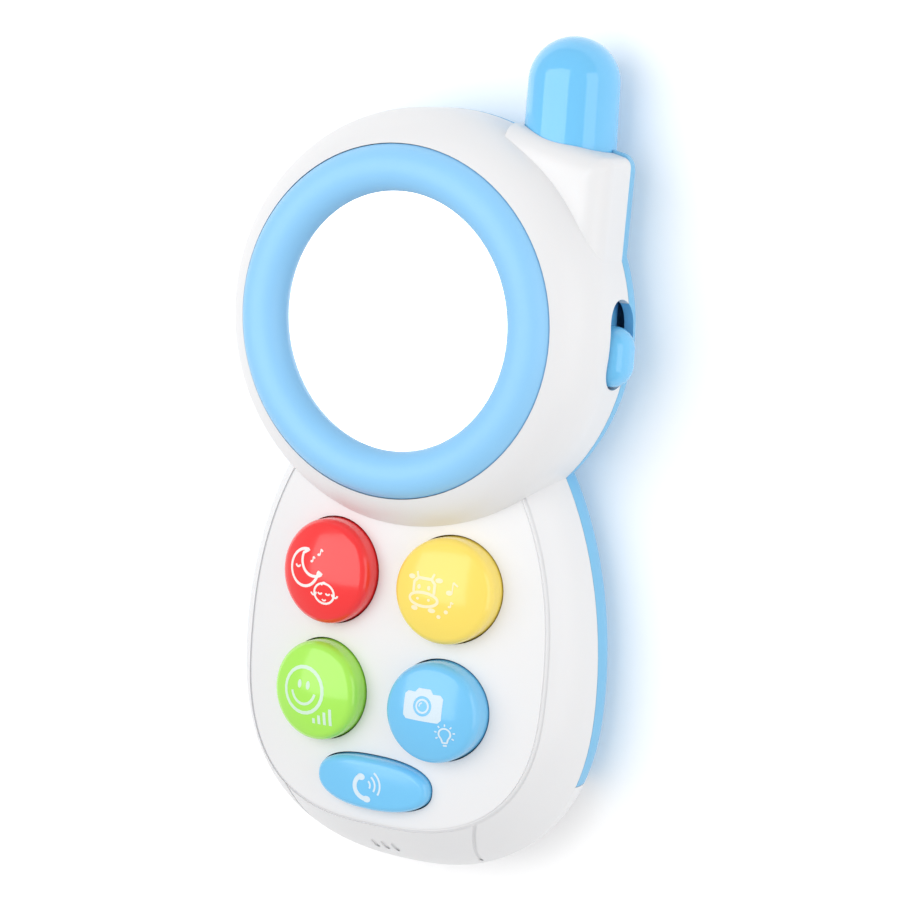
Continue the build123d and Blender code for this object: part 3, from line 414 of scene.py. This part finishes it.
class Print:
    """A thin raised print, drawn flat about a button's centre and laid on its surface."""

    def __init__(self, name, button, ink):
        self.name, self.button, self.ink = name, button, ink
        low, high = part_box(button)
        self.centre = Vector(((low[0] + high[0]) / 2, (low[1] + high[1]) / 2))
        self.top = high[2] + RAY_START
        cap = nodes[button]
        mesh = cap.data
        places = [cap.matrix_world @ v.co for v in mesh.vertices]
        self.surface = BVHTree.FromPolygons(places, [p.vertices[:] for p in mesh.polygons])
        self.bm = bmesh.new()

    def on_button(self, flat, lift):
        """The place on the button under a flat point, lifted off the surface."""
        start = Vector((self.centre.x + flat[0], self.centre.y + flat[1], self.top))
        hit, normal = self.surface.ray_cast(start, Vector((0, 0, -1)))[:2]
        return hit + normal * lift

    def strip(self, inner, outer, closed):
        """A band between two flat lines of equal length, with a top, sides and ends."""
        rings = []
        for a, b in zip(inner, outer):
            top = [self.bm.verts.new(self.on_button(p, PRINT_LIFT + PRINT_THICK)) for p in (a, b)]
            low = [self.bm.verts.new(self.on_button(p, -PRINT_LIFT)) for p in (b, a)]
            rings.append(top + low)
        pairs = list(zip(rings, rings[1:] + rings[:1])) if closed else list(zip(rings, rings[1:]))
        for first, second in pairs:
            for k in range(4):
                following = (k + 1) % 4
                self.bm.faces.new((first[k], first[following], second[following], second[k]))
        if not closed:
            self.bm.faces.new(rings[0][::-1])
            self.bm.faces.new(rings[-1])

    def line(self, points, width=STROKE, closed=False):
        """A stroke of even width along flat points in millimetres."""
        path = divided([Vector(p) * MM for p in points], closed)
        count = len(path)
        left, right = [], []
        for i, point in enumerate(path):
            before = path[i - 1] if closed or i else point
            after = path[(i + 1) % count] if closed or i < count - 1 else point
            along = (after - before).normalized()
            across = Vector((-along.y, along.x)) * width / 2
            left.append(point + across)
            right.append(point - across)
        self.strip(left, right, closed)

    def patch(self, points, hole=None):
        """A filled shape about its own middle, or with a hole of matching points."""
        outer = divided([Vector(p) * MM for p in points], True)
        if hole:
            centre, radius = Vector(hole[0]) * MM, hole[1] * MM
            inner = [centre + (p - centre).normalized() * radius for p in outer]
        else:
            middle = sum(outer, Vector((0, 0))) / len(outer)
            inner = [middle + (p - middle) * PATCH_MIDDLE for p in outer]
        steps = max(2, int(max((o - i).length for o, i in zip(outer, inner)) / PRINT_STEP))
        for k in range(steps):
            near = [i.lerp(o, k / steps) for o, i in zip(outer, inner)]
            far = [i.lerp(o, (k + 1) / steps) for o, i in zip(outer, inner)]
            self.strip(near, far, True)

    def finish(self):
        """Makes the print's object and lets it ride on its button."""
        bmesh.ops.remove_doubles(self.bm, verts=self.bm.verts, dist=WELD)
        bmesh.ops.recalc_face_normals(self.bm, faces=self.bm.faces)
        mesh = bpy.data.meshes.new(self.name)
        self.bm.to_mesh(mesh)
        self.bm.free()
        piece = bpy.data.objects.new(self.name, mesh)
        bpy.context.collection.objects.link(piece)
        mesh.materials.append(self.ink)
        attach(piece, self.button)


def divided(points, closed):
    """The same line with points no further apart than a printed facet."""
    ends = points[1:] + points[:1] if closed else points[1:]
    path = []
    for start, end in zip(points, ends):
        count = max(1, int((end - start).length / PRINT_STEP + 0.999))  # rounded up
        path += [start.lerp(end, k / count) for k in range(count)]
    return path if closed else path + [points[-1]]


def arc(centre, radius, start, end, count=24):
    """Points round an arc, angles in degrees; radius may be one for each axis."""
    wide, tall = radius if isinstance(radius, tuple) else (radius, radius)
    angles = [radians(start + (end - start) * i / count) for i in range(count + 1)]
    return [(centre[0] + wide * cos(a), centre[1] + tall * sin(a)) for a in angles]


def disc(centre, radius):
    """Points round a full circle or oval."""
    return arc(centre, radius, 0, 345, 23)


def ink(name, colour):
    """Matt printing ink with a faint screen grain."""
    made, shader, node, link, place = new_material(name)
    grain = noise(node, link, place, 3000.0, 3.0)
    tint = colour_ramp(node, link, grain, 0.3, 0.7, shade(colour, 0.96), colour)
    link(tint, "Color", shader, "Base Color")
    link(value_range(node, link, grain, 0.4, 0.6), 0, shader, "Roughness")
    return made


def note(picture, x, y, size):
    """A small musical note: an oval head, a stem and a flag."""
    stem_x, stem_top = x + 0.34 * size, y + 1.3 * size
    picture.patch(disc((x, y), (0.42 * size, 0.3 * size)))
    picture.line([(stem_x, y), (stem_x, stem_top)], 0.26 * MM)
    picture.line([(stem_x, stem_top), (x + 0.95 * size, y + 0.85 * size)], 0.34 * MM)


def sleep_print():
    """A crescent moon with notes over a sleeping baby's face."""
    picture = Print("sleep_print", "sleep_button", ink("ink_on_red", (0.93, 0.86, 0.84)))
    outer = arc((-3.65, 0.7), 3.9, 80, 355, 40)
    inner = arc((-0.95, 2.8), 3.55, 305, 165, 24)
    picture.line(outer + inner, closed=True)
    picture.line(arc((-5.5, 1.3), 0.7, 200, 340, 8), 0.4 * MM)
    note(picture, -1.8, 2.3, 0.8)
    note(picture, -0.2, 3.9, 0.9)
    picture.line(disc((1.8, -4.05), (2.4, 2.2)), 0.45 * MM, closed=True)
    for side in (-1, 1):
        ear = arc((1.8 + side * 2.6, -4.05), 0.62, 90 - side * 100, 90 - side * 280, 10)
        picture.line(ear, 0.4 * MM)
        picture.line(arc((1.8 + side * 0.95, -3.75), 0.5, 200, 340, 8), FINE)
    picture.line(arc((1.8, -5.15), 0.45, 200, 340, 6), 0.32 * MM)
    picture.line(arc((1.8, -2.15), 0.5, 200, 20, 8), FINE)
    picture.finish()


def animal_print():
    """A cow's head over two feet, with notes beside it."""
    picture = Print("animal_print", "animal_button", ink("ink_on_yellow", (0.98, 0.86, 0.55)))
    middle_x = -2.7
    head = [(-2.5, -0.2), (-2.5, 1.9), (-1.6, 2.8), (1.6, 2.8), (2.5, 1.9), (2.5, -0.2)]
    picture.line([(middle_x + x, y) for x, y in head])
    picture.line(disc((middle_x, -1.55), (3.4, 1.45)), closed=True)
    for side in (-1, 1):
        picture.patch(disc((middle_x + side * 3.3, 2.8), (0.85, 0.5)))
        picture.patch(disc((middle_x + side * 1.2, 1.0), (0.4, 0.5)))
        picture.patch(disc((middle_x + side * 1.35, -1.5), (0.35, 0.3)))
        picture.line([(middle_x + side * 1.6, 2.8), (middle_x + side * 2.1, 4.0)], 0.5 * MM)
        picture.patch(disc((middle_x + side * 2.1, -3.6), (0.85, 0.5)))
    note(picture, 3.1, 0.6, 1.7)
    note(picture, 3.3, -2.3, 0.8)
    picture.patch(disc((2.6, -3.5), (0.45, 0.42)))
    picture.patch(disc((1.0, -4.7), (0.45, 0.4)))
    picture.finish()


def smile_print():
    """A smiling face and four rising bars."""
    picture = Print("smile_print", "smile_button", ink("ink_on_green", (0.66, 0.86, 0.68)))
    picture.line(disc((-1.35, 0.35), 4.9), 0.75 * MM, closed=True)
    for x in (-2.3, -0.1):
        picture.patch(disc((x, 1.6), (0.5, 0.9)))
    picture.line(arc((-1.25, 0.8), (3.1, 3.4), 195, 345, 20), 0.6 * MM)
    for bar in range(4):
        x = 1.5 + bar * 1.3
        picture.line([(x, -6.4), (x, -5.3 + bar * 0.85)], 0.65 * MM)
    picture.finish()


def camera_print():
    """A camera and a shining bulb."""
    picture = Print("camera_print", "camera_button", ink("ink_on_blue", (0.68, 0.81, 0.90)))
    body = [(-4.3, -1.2), (3.1, -1.2), (3.8, -0.5), (3.8, 3.9), (3.1, 4.6), (1.5, 4.6), (0.8, 5.5)]
    body += [(-1.9, 5.5), (-2.6, 4.6), (-4.3, 4.6), (-5.0, 3.9), (-5.0, -0.5)]
    eye = (-0.55, 1.9)
    picture.patch(body, hole=(eye, 2.1))
    picture.line(disc(eye, 1.35), 0.4 * MM, closed=True)
    picture.line(arc(eye, 0.7, 100, 190, 6), 0.3 * MM)
    bulb = (4.6, -3.3)
    picture.line(arc(bulb, 1.2, -50, 230, 20), FINE)
    base = [(-0.75, -0.95), (-0.45, -1.9), (0.45, -1.9), (0.75, -0.95)]
    picture.line([(bulb[0] + x, bulb[1] + y) for x, y in base], FINE)
    picture.line([(bulb[0] - 0.4, bulb[1] - 2.5), (bulb[0] + 0.4, bulb[1] - 2.5)], FINE)
    for ray in range(7):
        turn = radians(-30 + ray * 40)
        near, far = [(bulb[0] + r * cos(turn), bulb[1] + r * sin(turn)) for r in (1.65, 2.15)]
        picture.line([near, far], 0.28 * MM)
    picture.finish()


def call_print():
    """A telephone handset, turned a little, with sound waves."""
    picture = Print("call_print", "call_button", ink("ink_on_call", (0.68, 0.81, 0.90)))
    handle = arc((0.2, -0.4), (2.9, 2.6), 130, 265, 16)
    picture.line(handle, 1.0 * MM)
    for x, y in (handle[0], handle[-1]):
        picture.patch(disc((x + 0.4, y), (0.95, 0.7)))
    for wave in range(3):
        picture.line(arc((0.0, 0.0), 1.1 + 1.15 * wave, -30, 58, 12), 0.4 * MM)
    picture.finish()


sleep_print()
animal_print()
smile_print()
camera_print()
call_print()
